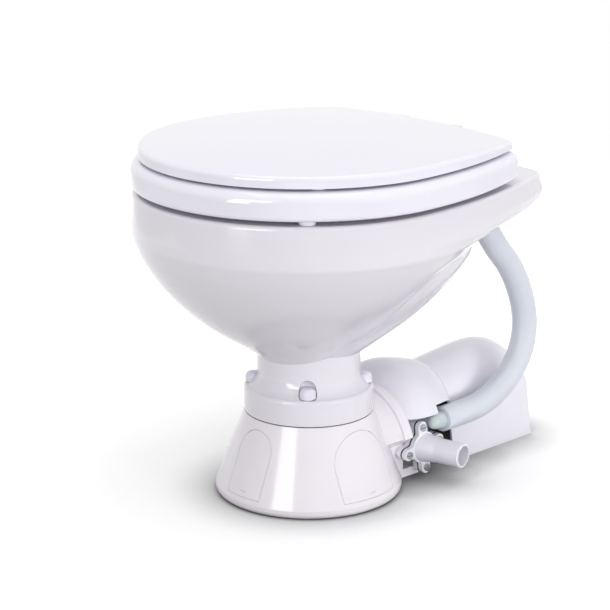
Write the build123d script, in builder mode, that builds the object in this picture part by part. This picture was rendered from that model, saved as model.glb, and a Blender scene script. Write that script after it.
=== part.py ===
from build123d import *
import os
from math import cos, radians, sin, sqrt, tan

os.makedirs("parts", exist_ok=True)

# Frame: the origin is the centre of the round foot on the floor, +Z is up,
# the front of the bowl faces -Y, the motor and the hinges lie towards +Y,
# and the discharge port and the flush hose are on the +X side.

# Clearances used all over
overrun = 1.0
running_gap = 0.05
screw_gap = 0.25
joint_gap = 0.3
slip_gap = 0.1

# Base housing, a hollow moulded cone with an arch at its back for the pump
foot_r = 96.6
foot_band_h = 9.0
foot_round = 6.0
cone_top_r = 66.5
base_h = 86.8
base_wall = 4.0
base_top_t = 8.0
foot_ring_w = 30.0
foot_ring_t = 8.0
arch_r = 68.5
arch_band_step = 2.5
arch_band_w = 12.0
arch_z = 28.5
arch_end_y = 88.0
arch_start_y = 30.0
arch_foot_x = 51.0
arch_shoulder_z = 38.0
arch_spring_z = 48.5
arch_back_wall = 8.0
tongue_len = 4.0
tongue_t = 1.0
tongue_low_z = 68.0
cradle_end_y = 112.0
cradle_start_y = 60.0
cradle_t = 9.0
floor_bolt_ring_r = 80.0
floor_bolt_hole_r = 4.5
waste_bore_r = 27.0
waste_pipe_wall = 4.0

# Access panels over the floor bolts
panel_t = 3.0
panel_gap = 0.4
panel_ledge = 3.0
panel_low_z = 14.0
panel_top_z = 78.0
front_panel_half_w = 22.5
side_panel_half_w = 35.0
panel_cut_start = 58.0
panel_notch_w = 8.0
panel_notch_h = 2.0
panel_notch_z = 19.0
panel_notch_depth = 1.2

# Gasket between the base and the china
gasket_t = 1.2
gasket_inset = 0.8

# China bowl, its heights taken from the foot of the collar
collar_r = 66.5
collar_h = 26.5
collar_round = 4.0
neck_r = 53.0
neck_h = 43.0
neck_top_r = 52.8
neck_top_h = 72.0
bowl_h = 232.0
rim_r = 169.0
rim_w = 41.0
rim_lip_t = 9.0
rim_top_t = 9.0
rim_channel_h = 36.0
rim_round = 4.0
bowl_wall = 11.0
bowl_back_offset = 9.0
# Sections of the bowl from the neck to the rim. Shares: the height of the way
# up, then the radius and the centre in y of the rim's radius. Shares of the
# section's own radius: half width at the back corners, their distance behind
# the centre, the bow of the back and the rounding of the corners
dome_shares = (
    (0.0265, 0.166, -0.059, 0.6, 0.8, 0.2, 0.3),
    (0.1005, 0.2645, -0.0704, 0.6, 0.8, 0.2, 0.3),
    (0.1693, 0.3485, -0.0917, 0.6, 0.8, 0.2, 0.3),
    (0.2593, 0.4905, -0.1118, 0.6, 0.8, 0.2, 0.3),
    (0.3915, 0.6633, -0.1266, 0.6, 0.8, 0.2, 0.3),
    (0.5238, 0.8071, -0.1195, 0.61, 0.79, 0.21, 0.3),
    (0.6296, 0.9065, -0.0959, 0.65, 0.8, 0.2, 0.28),
    (0.709, 0.9686, -0.0734, 0.69, 0.86, 0.145, 0.22),
    (0.7566, 1.0, -0.058, 0.69, 0.9, 0.09, 0.172),
    (0.7884, 1.011, -0.0535, 0.684, 1.043, 0.07, 0.152),
    (0.8201, 1.0125, -0.0533, 0.681, 1.225, 0.046, 0.14),
    (0.8466, 1.0115, -0.0533, 0.681, 1.335, 0.035, 0.13),
    (0.873, 1.0095, -0.0533, 0.681, 1.376, 0.03, 0.13),
    (0.927, 1.005, -0.0533, 0.683, 1.388, 0.03, 0.13),
    (1.0, 1.0, -0.0533, 0.6864, 1.395, 0.03, 0.13),
)
# The swelling at the back of the dome: height, radius and centre shares
swell_shares = (
    (0.0582, 0.2296, 0.0),
    (0.1429, 0.354, 0.0491),
    (0.2593, 0.5, 0.113),
    (0.3915, 0.638, 0.174),
    (0.5238, 0.75, 0.2112),
    (0.6296, 0.813, 0.225),
    (0.72, 0.845, 0.2),
    (0.8, 0.86, 0.15),
)
# The hollow inside follows the dome less the wall, down to the outlet
cavity_shares = (
    (0.2593, 0.4905, -0.1118),
    (0.3915, 0.6633, -0.1266),
    (0.5238, 0.8071, -0.1195),
    (0.6296, 0.9065, -0.0959),
    (0.709, 0.9686, -0.0734),
    (0.811, 1.01, -0.0533),
)
cavity_throat_h = 34.0
cavity_throat_r = 30.0
cavity_shelf_h = 72.0
cavity_shelf_r = 40.0
cavity_shelf_y = -8.0

# Deck behind the bowl, hollow below
deck_top_t = 10.0
deck_pocket_side_wall = 13.0
deck_pocket_front_wall = 4.0
deck_pocket_back_wall = 6.0
deck_pocket_depth = 70.0
deck_pocket_corner_r = 16.0

# Bolts that hold the bowl to the base
bowl_bolt_ring_r = 56.5
bowl_bolt_r = 3.0
bowl_bolt_hole_r = 4.0
bolt_seat_h = 26.0
bolt_flute_r = 9.2
bolt_flute_h = 10.0
bolt_head_af = 10.0
bolt_head_t = 4.0
bolt_tip_h = 1.0
bowl_washer_r = 7.4
bowl_washer_t = 1.4
bowl_nut_t = 5.0
cap_r = 8.3
cap_wall = 1.6
cap_top_t = 3.5
cap_h = 10.0
cap_round = 5.5
bolt_boss_r = 8.5

# Flush water inlet in the china and the elbow that plugs into it
inlet_x = 44.0
inlet_drop = 27.0
inlet_hole_r = 12.5
inlet_depth = 36.0
inlet_reach = 13.0
grommet_len = 22.0
grommet_wall = 3.0
grommet_lip = 2.5
grommet_lip_t = 3.0
elbow_bore_r = 7.0
barb_r = 9.4
barb_root_r = 8.7
barb_len = 22.0
barb_pitch = 4.4
barb_count = 4
hub_r = 10.5

# Flush hose: outside radius, bore and the corners of its route
hose_r = 13.5
hose_bore_r = 9.5
clamp_t = 0.9
clamp_w = 9.0
clamp_housing = 7.0
clamp_setback = 10.0
hose_route = (
    (62.0, 134.2, 57.0),
    (62.0, 162.2, 57.0),
    (64.3, 190.0, 59.1),
    (67.9, 217.6, 71.5),
    (71.0, 241.3, 94.4),
    (71.4, 255.7, 125.4),
    (66.9, 258.2, 159.3),
    (60.2, 244.6, 201.1),
    (54.1, 220.0, 231.0),
    (50.5, 206.5, 258.0),
)
hose_arc_share = 0.45

# Pump and motor axis above the floor and stations along it
pump_z = 52.0
pump_body_r = 41.0
macerator_len = 9.0
discharge_len = 17.5
rinse_len = 24.5
chamber_r = 30.0
tie_screw_ring_r = 36.0
tie_screw_deg = 60.0
tie_screw_r = 2.5
tie_head_r = 4.5
tie_head_t = 3.5
pump_back_wall = 3.0
o_ring_r = 31.9
o_ring_cord_r = 0.95
o_ring_groove_w = 1.1
o_ring_groove_t = 2.0
wear_plate_t = 1.5
wear_plate_eye_r = 13.0
wear_plate_r = 30.0

# Discharge side: boss, joker valve and port
port_z = 33.0
port_lift = 8.75
port_bore_r = 6.5
port_boss_r = 17.0
port_face_x = 58.0
port_plate_t = 6.0
port_pattern_r = 23.0
port_pattern_deg = 8.0
port_lobe_r = 6.3
port_flange_t = 5.0
port_tube_r = 13.0
port_tube_wall = 2.4
port_tube_len = 50.0
port_neck_r = 16.0
port_neck_len = 18.0
port_bevel = 1.0
port_swing_deg = 11.0
port_screw_r = 2.0
port_screw_head_r = 4.0
port_screw_head_t = 2.2
screw_slot_w = 1.0
valve_flange_t = 2.0
valve_r = 8.8
valve_wall = 1.4
valve_len = 20.0
valve_tip_w = 8.0
valve_tip_t = 2.0

# Rinse pump
rinse_chamber_r = 22.0
rinse_plate_t = 2.0
rinse_out_lift = 5.0
rinse_out_back = 9.2
rinse_leg_r = 6.5
rinse_leg_bore_r = 4.5
rinse_elbow_x = 62.0
rinse_elbow_hub_r = 8.4
rinse_in_drop = 20.0
rinse_in_back = 12.25
rinse_in_len = 34.0
rinse_in_flange_r = 11.5
rinse_in_flange_t = 4.0

# Motor
shaft_r = 4.0
motor_r = 38.0
motor_can_t = 2.0
motor_plate_t = 8.0
motor_len = 112.0
end_bell_t = 14.0
end_bell_wall = 3.0
magnet_t = 6.0
magnet_len = 70.0
magnet_side_gap = 12.0
magnet_setback = 8.0
armature_r = 26.0
armature_len = 62.0
armature_slots = 12
armature_slot_w = 2.4
armature_slot_depth = 8.0
winding_r = 22.0
winding_len = 10.0
commutator_r = 13.0
commutator_len = 16.0
bearing_r = 11.0
bearing_len = 7.0
through_bolt_x = 32.5
through_bolt_r = 1.8
through_bolt_head_r = 3.4
through_bolt_head_t = 3.0
brush_w = 6.0
brush_len = 14.0
seal_r = 9.0
seal_len = 2.6
saddle_w = 44.0
saddle_len = 26.0
saddle_top_z = 22.0

# Rotating pump parts
chopper_r = 25.0
chopper_t = 3.0
chopper_hub_r = 9.0
chopper_blade_w = 11.0
impeller_r = 26.0
impeller_plate_t = 2.5
impeller_len = 11.0
impeller_vanes = 5
impeller_vane_t = 3.0
rinse_impeller_r = 21.4
rinse_impeller_hub_r = 11.0
rinse_vanes = 8
rinse_vane_t = 2.6

# Motor cover, one moulding: a hood over the pump and a hump over the motor
cover_wall = 2.5
cover_hood_low_z = 66.0
cover_step_y = 165.0
cover_end_y = 292.0
cover_foot_x = 54.0
cover_waist_x = 46.0
cover_waist_z = 61.0
cover_notch_r = 16.8
cover_notch_x = 64.0
cover_notch_z = 57.6
cover_notch_y = 126.0
# Hood sections: station, half width at the spring line, its height, top height
hood_sections = (
    (arch_end_y + joint_gap, arch_r, arch_z, arch_r + arch_z),
    (106.0, 69.5, 40.0, 111.5),
    (132.0, 69.5, 38.0, 110.5),
    (150.0, 64.0, 38.0, 106.0),
    (163.5, 49.0, 50.0, 101.0),
)
hump_sections = (
    (150.0, cover_waist_x, cover_waist_z, 100.5),
    (184.0, cover_waist_x, cover_waist_z, 101.0),
    (222.0, cover_waist_x, cover_waist_z, 105.0),
    (250.0, cover_waist_x, cover_waist_z, 107.0),
    (276.0, cover_waist_x, cover_waist_z, 102.5),
    (cover_end_y, 45.0, 59.0, 90.0),
)
gland_y = 268.0
gland_z = 24.0
gland_hole_r = 6.5
gland_r = 9.0
gland_bore_r = 3.5
gland_lip_t = 2.5

# Seat and lid outlines, egg shaped with the wide end at the front
seat_r = 171.5
lid_r = 164.1
plan_y = -7.7
seat_back_half_w = 135.0
lid_back_half_w = 130.5
seat_back_y = 165.0
lid_back_y = 160.0
back_bow = 8.0
seat_corner_r = 18.0
lid_corner_r = 14.0
seat_lift = 4.7
seat_t = 27.3
seat_top_round = 11.0
seat_low_round = 4.0
seat_hole_half_w = 98.0
seat_hole_half_len = 118.0
seat_hole_y = -14.0
seat_hole_round = 7.0
lid_lift = 2.8
lid_edge_h = 11.2
lid_t = 17.2
lid_edge_round = 4.5
lid_wall = 5.0
lid_rim_w = 22.0
seat_bumper_x = 117.0
seat_bumper_y = -115.0
seat_bumper_back_y = 120.0
seat_bumper_back_x = 112.0
seat_bumper_r = 8.0
lid_bumper_x = 118.0
lid_bumper_y = -102.0
lid_bumper_back_x = 104.0
lid_bumper_back_y = 122.0
lid_bumper_r = 6.5
bumper_seat_depth = 3.0

# Hinge behind the seat
hinge_setback = 18.0
hinge_lift = 18.0
hinge_x = 50.0
knuckle_r = 7.0
knuckle_w = 11.5
knuckle_gap = 0.6
hinge_pin_r = 3.0
hinge_pin_head_r = 4.6
hinge_pin_head_t = 2.0
post_base_r = 17.0
post_base_t = 5.0
arm_t = 7.0
arm_bend_y = 190.0
arm_rise_y = 176.0
lid_arm_lift = 4.2
hinge_bolt_r = 3.8
hinge_bolt_hole_r = 5.0
hinge_bolt_drop = 23.0
hinge_washer_r = 10.0
hinge_washer_t = 1.6
hinge_nut_af = 13.0
hinge_nut_t = 6.0

# Sizes that follow from those above
collar_z = base_h + gasket_t
collar_top_z = collar_z + collar_h
neck_z = collar_z + neck_h
neck_top_z = collar_z + neck_top_h
rim_z = collar_z + bowl_h
mouth_r = rim_r - rim_w
rim_channel_z = rim_z - rim_channel_h
deck_half_w = dome_shares[-1][1] * dome_shares[-1][3] * rim_r
deck_back_y = sum(dome_shares[-1][place] for place in (2, 4, 5)) * rim_r
pocket_half_w = deck_half_w - deck_pocket_side_wall
pocket_start_y = rim_r + deck_pocket_front_wall
pocket_end_y = deck_back_y - deck_pocket_back_wall
bolt_seat_z = collar_z + bolt_seat_h
inlet_z = rim_z - inlet_drop
inlet_corner_y = pocket_start_y + inlet_reach
seat_low_z = rim_z + seat_lift
seat_top_z = seat_low_z + seat_t
lid_low_z = seat_top_z + lid_lift
lid_edge_z = lid_low_z + lid_edge_h
lid_top_z = lid_low_z + lid_t
lid_arm_z = lid_low_z + lid_arm_lift
hinge_y = deck_back_y - hinge_setback
hinge_z = rim_z + hinge_lift
hinge_bolt_low_z = rim_z - hinge_bolt_drop
rim_centre_y = -bowl_back_offset
cone_slope = (foot_r - cone_top_r) / (base_h - foot_band_h)
macerator_y = arch_end_y
discharge_y = macerator_y + macerator_len
rinse_y = discharge_y + discharge_len
motor_plate_y = rinse_y + rinse_len
motor_y = motor_plate_y + motor_plate_t
end_bell_y = motor_y + motor_len
port_y = discharge_y + port_lift
rise = (Align.CENTER, Align.CENTER, Align.MIN)


def station(y):
    """The plane across the pump axis at y, facing the motor's end."""
    return Plane((0, y, pump_z), x_dir=(-1, 0, 0), z_dir=(0, 1, 0))


def facing_right(x, y, z):
    """A plane that faces +X."""
    return Plane((x, y, z), x_dir=(0, 1, 0), z_dir=(1, 0, 0))


def rod(plane, radius, length, mode=Mode.ADD):
    """A round bar that stands on a plane."""
    with Locations(plane.location):
        Cylinder(radius, length, align=rise, mode=mode)


def ring(plane, outer_r, inner_r, length, mode=Mode.ADD):
    """A round tube that stands on a plane."""
    with BuildSketch(plane) as face:
        Circle(outer_r)
        Circle(inner_r, mode=Mode.SUBTRACT)
    extrude(face.sketch, amount=length, mode=mode)


def ball(centre, radius, mode=Mode.ADD):
    """A ball that closes the outside corner of an elbow."""
    with Locations(centre):
        Sphere(radius, mode=mode)


def barb(plane, length):
    """A hose barb on a plane: a root tube with saw-toothed ridges."""
    rod(plane, barb_root_r, length)
    for tooth in range(barb_count):
        foot = plane.offset(length - (tooth + 1) * barb_pitch)
        with Locations(foot.location):
            Cone(barb_r, barb_root_r, barb_pitch, align=rise)


def screw(plane, shank_r, shank_len, head_r, head_t):
    """A slotted pan head above a plane with its shank below it."""
    rod(plane, head_r, head_t)
    rod(plane.offset(-shank_len), shank_r, shank_len)
    with Locations(plane.offset(head_t).location):
        Box(head_r * 2, screw_slot_w, head_t, mode=Mode.SUBTRACT)


def egg(radius, half_back, back_y):
    """The plan of seat and lid: a round front and sides that draw in behind."""
    with BuildLine() as edge:
        ThreePointArc((-radius, plan_y), (0, plan_y - radius), (radius, plan_y))
        Bezier((radius, plan_y), (radius, (plan_y + back_y) / 2), (half_back, back_y))
        ThreePointArc((half_back, back_y), (0, back_y + back_bow), (-half_back, back_y))
        Bezier((-half_back, back_y), (-radius, (plan_y + back_y) / 2), (-radius, plan_y))
    return edge.line


def arch_line(radius, foot_x, shoulder_z):
    """The outline of the arch at the back of the base, from the floor up."""
    spring_x = sqrt(radius**2 - (arch_spring_z - arch_z) ** 2)
    with BuildLine() as edge:
        Polyline(
            (-spring_x, arch_spring_z), (-foot_x, shoulder_z), (-foot_x, 0),
            (foot_x, 0), (foot_x, shoulder_z), (spring_x, arch_spring_z),
        )
        ThreePointArc((spring_x, arch_spring_z), (0, arch_z + radius), (-spring_x, arch_spring_z))
    return edge.line


def cone_radius(z):
    """The outside radius of the base at a height."""
    return foot_r - max(z - foot_band_h, 0) * cone_slope


def arch_slab(radius, foot_x, start_y, end_y, mode=Mode.ADD):
    """A slice of the arch between two stations."""
    with BuildSketch(Plane.XZ.offset(-end_y)) as face:
        make_face(arch_line(radius, foot_x, arch_shoulder_z))
    extrude(face.sketch, amount=end_y - start_y, mode=mode)


def panel_prisms(grow, mode=Mode.ADD):
    """The three arch-topped outlines of the access panels, pushed outwards."""
    sides = (
        (Plane.XZ, front_panel_half_w),
        (Plane.YZ, side_panel_half_w),
        (Plane((0, 0, 0), x_dir=(0, -1, 0), z_dir=(-1, 0, 0)), side_panel_half_w),
    )
    for plane, half_w in sides:
        spring_z = panel_top_z - half_w
        with BuildSketch(plane.offset(panel_cut_start)) as face:
            with BuildLine():
                Polyline(
                    (-half_w - grow, spring_z), (-half_w - grow, panel_low_z - grow),
                    (half_w + grow, panel_low_z - grow), (half_w + grow, spring_z),
                )
                RadiusArc((half_w + grow, spring_z), (-half_w - grow, spring_z), -half_w - grow)
            make_face()
        extrude(face.sketch, amount=foot_r - panel_cut_start + overrun, mode=mode)


def cone_shell(thickness):
    """The profile of the outer skin of the cone."""
    with BuildSketch(Plane.XZ) as face:
        with BuildLine():
            Polyline(
                (cone_radius(foot_band_h), foot_band_h), (cone_top_r, base_h),
                (cone_top_r - thickness, base_h),
                (cone_radius(foot_band_h) - thickness, foot_band_h), close=True,
            )
        make_face()
    return face.sketch


# Base housing: cone, foot ring, arch, waste elbow, bolt bosses
with BuildPart() as panel_recess:
    panel_prisms(panel_gap)
    revolve(cone_shell(panel_t + panel_gap), axis=Axis.Z, mode=Mode.INTERSECT)

with BuildPart() as base_housing:
    with BuildSketch(Plane.XZ):
        with BuildLine():
            Polyline(
                (0, 0), (foot_r, 0), (foot_r, foot_band_h), (cone_top_r, base_h), (0, base_h),
                close=True,
            )
        make_face()
    revolve(axis=Axis.Z)
    fillet(base_housing.edges().group_by(Axis.Z)[0], foot_round)
    arch_slab(arch_r - arch_band_step, arch_foot_x, arch_start_y, arch_end_y)
    arch_slab(arch_r, arch_foot_x, arch_end_y - arch_band_w, arch_end_y)
    with Locations((0, (cradle_start_y + cradle_end_y) / 2, 0)):
        Box(2 * arch_foot_x, cradle_end_y - cradle_start_y, cradle_t, align=rise)
    with BuildSketch(Plane.XZ):
        with BuildLine():
            Polyline(
                (0, 0), (foot_r - foot_ring_w, 0), (foot_r - foot_ring_w, foot_ring_t),
                (foot_r - base_wall, foot_ring_t), (foot_r - base_wall, foot_band_h),
                (cone_radius(base_h - base_top_t) - base_wall, base_h - base_top_t),
                (0, base_h - base_top_t), close=True,
            )
        make_face()
    revolve(axis=Axis.Z, mode=Mode.SUBTRACT)
    arch_slab(
        arch_r - arch_band_step - base_wall, arch_foot_x - base_wall,
        arch_start_y, arch_end_y - arch_back_wall, mode=Mode.SUBTRACT,
    )
    with Locations((0, cradle_start_y, 0)):
        Box(
            2 * (arch_foot_x - base_wall), arch_end_y - arch_back_wall - cradle_start_y,
            cradle_t, align=(Align.CENTER, Align.MIN, Align.MIN), mode=Mode.SUBTRACT,
        )
    with Locations((0, arch_end_y, cradle_t)):
        Box(
            2 * arch_foot_x, foot_r - arch_end_y + overrun, pump_z,
            align=(Align.CENTER, Align.MIN, Align.MIN), mode=Mode.SUBTRACT,
        )
    rod(Plane.XY.offset(base_h), collar_r + joint_gap, arch_r, mode=Mode.SUBTRACT)
    rod(Plane.XY.offset(pump_z), waste_bore_r + waste_pipe_wall, base_h - pump_z)
    rod(station(0), waste_bore_r + waste_pipe_wall, arch_end_y)
    ball((0, 0, pump_z), waste_bore_r + waste_pipe_wall)
    with BuildSketch(Plane.XY.offset(base_h - base_top_t - bolt_head_t - bowl_washer_t)) as bosses:
        with PolarLocations(bowl_bolt_ring_r, 4, start_angle=45):
            Circle(bolt_boss_r)
    extrude(bosses.sketch, amount=base_top_t + bolt_head_t)
    with BuildSketch(Plane.XY.offset(base_h)) as bolt_holes:
        with PolarLocations(bowl_bolt_ring_r, 4, start_angle=45):
            Circle(bowl_bolt_hole_r)
    extrude(bolt_holes.sketch, amount=-2 * base_top_t - bolt_head_t, mode=Mode.SUBTRACT)
    with BuildSketch(Plane.XY) as floor_holes:
        with Locations(
            (floor_bolt_ring_r, 0), (-floor_bolt_ring_r, 0), (0, -floor_bolt_ring_r)
        ):
            Circle(floor_bolt_hole_r)
    extrude(floor_holes.sketch, amount=foot_ring_t + overrun, mode=Mode.SUBTRACT)
    with BuildSketch(Plane.XZ.offset(-arch_end_y)) as tongue:
        with Locations((0, arch_z)):
            Circle(arch_r - cover_wall - joint_gap)
            Circle(arch_r - cover_wall - joint_gap - tongue_t, mode=Mode.SUBTRACT)
        with Locations((0, tongue_low_z)):
            Rectangle(2 * arch_r, arch_r, align=(Align.CENTER, Align.MIN), mode=Mode.INTERSECT)
    extrude(tongue.sketch, amount=-tongue_len)
    with BuildSketch(station(arch_end_y)) as tie_holes:
        for angle in (tie_screw_deg, 180 - tie_screw_deg, 180 + tie_screw_deg, -tie_screw_deg):
            with PolarLocations(tie_screw_ring_r, 1, start_angle=angle):
                Circle(tie_screw_r + running_gap)
    extrude(tie_holes.sketch, amount=-arch_back_wall + overrun, mode=Mode.SUBTRACT)
    rod(Plane.XY.offset(pump_z), waste_bore_r, base_h, mode=Mode.SUBTRACT)
    rod(station(0), waste_bore_r, arch_end_y + overrun, mode=Mode.SUBTRACT)
    ball((0, 0, pump_z), waste_bore_r, mode=Mode.SUBTRACT)
    panel_prisms(-panel_ledge, mode=Mode.SUBTRACT)
    add(panel_recess.part, mode=Mode.SUBTRACT)
base_housing.part.label = "base_housing"

# Access panels that snap over the floor bolts
with BuildPart() as access_panels:
    panel_prisms(0)
    revolve(cone_shell(panel_t), axis=Axis.Z, mode=Mode.INTERSECT)
    for plane in (Plane.XZ, Plane.YZ, Plane((0, 0, 0), x_dir=(0, -1, 0), z_dir=(-1, 0, 0))):
        notch_r = cone_radius(panel_notch_z) - panel_notch_depth
        with BuildSketch(plane.offset(notch_r)) as notch:
            with Locations((0, panel_notch_z)):
                SlotOverall(panel_notch_w, panel_notch_h)
        extrude(notch.sketch, amount=panel_notch_depth + overrun, mode=Mode.SUBTRACT)
access_panels.part.label = "access_panels"

# Gasket under the china collar
with BuildPart() as bowl_gasket:
    with BuildSketch(Plane.XY.offset(base_h)):
        Circle(collar_r - gasket_inset)
        Circle(waste_bore_r, mode=Mode.SUBTRACT)
        with PolarLocations(bowl_bolt_ring_r, 4, start_angle=45):
            Circle(bowl_bolt_hole_r, mode=Mode.SUBTRACT)
    extrude(amount=gasket_t)
bowl_gasket.part.label = "bowl_gasket"


def bowl_loft(shares, inset=0):
    """Round sections stacked up the bowl, each from its shares."""
    sections = []
    for height_share, radius_share, centre_share in shares:
        level = neck_z + height_share * (rim_z - neck_z)
        with BuildSketch(Plane.XY.offset(level)) as section:
            with Locations((0, centre_share * rim_r)):
                Circle(radius_share * rim_r - inset)
        sections.append(section.sketch)
    return sections


def dome_section(height, radius, centre, half_back, back, bow, corner):
    """One section of the bowl's outside: a round front, a back with two corners."""
    front_r = radius * rim_r
    middle_y = centre * rim_r
    corner_x = half_back * front_r
    corner_y = middle_y + back * front_r
    side_y = (middle_y + corner_y) / 2
    back_y = corner_y + bow * front_r
    with BuildSketch(Plane.XY.offset(neck_z + height * (rim_z - neck_z))) as section:
        with BuildLine():
            ThreePointArc((-front_r, middle_y), (0, middle_y - front_r), (front_r, middle_y))
            Bezier((front_r, middle_y), (front_r, side_y), (corner_x, corner_y))
            ThreePointArc((corner_x, corner_y), (0, back_y), (-corner_x, corner_y))
            Bezier((-corner_x, corner_y), (-front_r, side_y), (-front_r, middle_y))
        make_face()
        corners = [spot for spot in section.vertices() if abs(spot.Y - corner_y) < joint_gap]
        fillet(corners, corner * front_r)
    return section.sketch


dome_sections = [dome_section(*shares) for shares in dome_shares]

# The outside of the bowl up to the rim and out to the deck, rounded at the top
with BuildPart() as dome:
    loft(dome_sections)
    fillet(dome.faces().sort_by(Axis.Z)[-1].edges(), rim_round)

# Bowl: collar, neck, dome, swelling at the back, rim and deck in one casting
with BuildPart() as bowl:
    with BuildSketch(Plane.XZ):
        with BuildLine():
            Polyline(
                (neck_r, neck_z), (neck_top_r, neck_top_z), (0, neck_top_z), (0, collar_z),
                (collar_r, collar_z),
                (collar_r, collar_top_z - collar_round),
            )
            RadiusArc(
                (collar_r, collar_top_z - collar_round),
                (collar_r - collar_round, collar_top_z), -collar_round,
            )
            ThreePointArc(
                (collar_r - collar_round, collar_top_z),
                ((collar_r + 3 * neck_r) / 4, (2 * collar_top_z + neck_z) / 3), (neck_r, neck_z),
            )
        make_face()
    revolve(axis=Axis.Z)
    add(dome.part)
    with BuildSketch(Plane.XY.offset(rim_z - deck_top_t)) as pocket:
        with Locations((0, pocket_start_y)):
            RectangleRounded(
                2 * pocket_half_w, pocket_end_y - pocket_start_y, deck_pocket_corner_r,
                align=(Align.CENTER, Align.MIN),
            )
    extrude(pocket.sketch, amount=-deck_pocket_depth, mode=Mode.SUBTRACT)
    with Locations((hinge_x, hinge_y, rim_z), (-hinge_x, hinge_y, rim_z)):
        Cylinder(hinge_bolt_hole_r, 3 * deck_top_t, mode=Mode.SUBTRACT)
    loft(bowl_loft(swell_shares))
    with Locations((0, rim_centre_y, rim_channel_z)):
        Cylinder(mouth_r, rim_z, align=rise, mode=Mode.SUBTRACT)
    ring(
        Plane((0, rim_centre_y, rim_channel_z)), rim_r - bowl_wall, mouth_r + rim_lip_t,
        rim_channel_h - rim_top_t, mode=Mode.SUBTRACT,
    )
    with BuildSketch(Plane.XY.offset(collar_z + cavity_throat_h)) as throat:
        Circle(cavity_throat_r)
    with BuildSketch(Plane.XY.offset(collar_z + cavity_shelf_h)) as shelf:
        with Locations((0, cavity_shelf_y)):
            Circle(cavity_shelf_r)
    loft(
        [throat.sketch, shelf.sketch] + bowl_loft(cavity_shares, bowl_wall),
        mode=Mode.SUBTRACT,
    )
    rod(Plane.XY.offset(collar_z), waste_bore_r, neck_z - collar_z, mode=Mode.SUBTRACT)
    with BuildSketch(Plane.XY.offset(collar_z)) as china_holes:
        with PolarLocations(bowl_bolt_ring_r, 4, start_angle=45):
            Circle(bowl_bolt_hole_r)
    extrude(china_holes.sketch, amount=collar_h, mode=Mode.SUBTRACT)
    with BuildSketch(Plane.XY.offset(bolt_seat_z)) as flutes:
        with PolarLocations(bowl_bolt_ring_r, 4, start_angle=45):
            Circle(bolt_flute_r)
    extrude(flutes.sketch, amount=bolt_flute_h, mode=Mode.SUBTRACT)
    for turn in range(4):
        angle = radians(45 + 90 * turn)
        spot = (
            bowl_bolt_ring_r * cos(angle), bowl_bolt_ring_r * sin(angle),
            bolt_seat_z + bolt_flute_h,
        )
        ball(spot, bolt_flute_r, mode=Mode.SUBTRACT)
    rod(
        Plane((inlet_x, pocket_start_y - inlet_depth, inlet_z), z_dir=(0, 1, 0)), inlet_hole_r,
        inlet_depth + inlet_reach, mode=Mode.SUBTRACT,
    )
bowl.part.label = "bowl"

# Bolts, washers, nuts and caps that hold the bowl down
bolt_head_z = base_h - base_top_t - bolt_head_t - bowl_washer_t
nut_z = bolt_seat_z + bowl_washer_t
with BuildPart() as bowl_bolts:
    with BuildSketch(Plane.XY.offset(bolt_head_z - bolt_head_t)) as heads:
        with PolarLocations(bowl_bolt_ring_r, 4, start_angle=45):
            RegularPolygon(bolt_head_af / 2, 6, major_radius=False)
    extrude(heads.sketch, amount=bolt_head_t)
    with BuildSketch(Plane.XY.offset(bolt_head_z)) as shanks:
        with PolarLocations(bowl_bolt_ring_r, 4, start_angle=45):
            Circle(bowl_bolt_r)
    extrude(shanks.sketch, amount=nut_z + bowl_nut_t + bolt_tip_h - bolt_head_z)
bowl_bolts.part.label = "bowl_bolts"

with BuildPart() as bowl_washers:
    with BuildSketch(Plane.XY.offset(bolt_seat_z)):
        with PolarLocations(bowl_bolt_ring_r, 4, start_angle=45):
            Circle(bowl_washer_r)
            Circle(bowl_bolt_r + screw_gap, mode=Mode.SUBTRACT)
    extrude(amount=bowl_washer_t)
bowl_washers.part.label = "bowl_washers"

with BuildPart() as bowl_nuts:
    with BuildSketch(Plane.XY.offset(nut_z)):
        with PolarLocations(bowl_bolt_ring_r, 4, start_angle=45):
            RegularPolygon(bolt_head_af / 2, 6, major_radius=False)
            Circle(bowl_bolt_r + running_gap, mode=Mode.SUBTRACT)
    extrude(amount=bowl_nut_t)
bowl_nuts.part.label = "bowl_nuts"

with BuildPart() as bowl_nut_caps:
    with BuildSketch(Plane.XY.offset(nut_z)):
        with PolarLocations(bowl_bolt_ring_r, 4, start_angle=45):
            Circle(cap_r)
    extrude(amount=cap_h)
    fillet(bowl_nut_caps.faces().sort_by(Axis.Z)[-4:].edges(), cap_round)
    with BuildSketch(Plane.XY.offset(nut_z)):
        with PolarLocations(bowl_bolt_ring_r, 4, start_angle=45):
            Circle(cap_r - cap_wall)
    extrude(amount=cap_h - cap_top_t, mode=Mode.SUBTRACT)
bowl_nut_caps.part.label = "bowl_nut_caps"

# Flush inlet: grommet in the china, then an elbow that turns down to the hose
grommet_y = pocket_start_y - grommet_len
elbow_leg_r = inlet_hole_r - grommet_wall
inlet_line = Plane((inlet_x, grommet_y, inlet_z), z_dir=(0, 1, 0))
with BuildPart() as inlet_grommet:
    ring(inlet_line, inlet_hole_r, elbow_leg_r, grommet_len)
    ring(
        inlet_line.offset(grommet_len), inlet_hole_r + grommet_lip, elbow_leg_r, grommet_lip_t
    )
inlet_grommet.part.label = "inlet_grommet"

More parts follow.
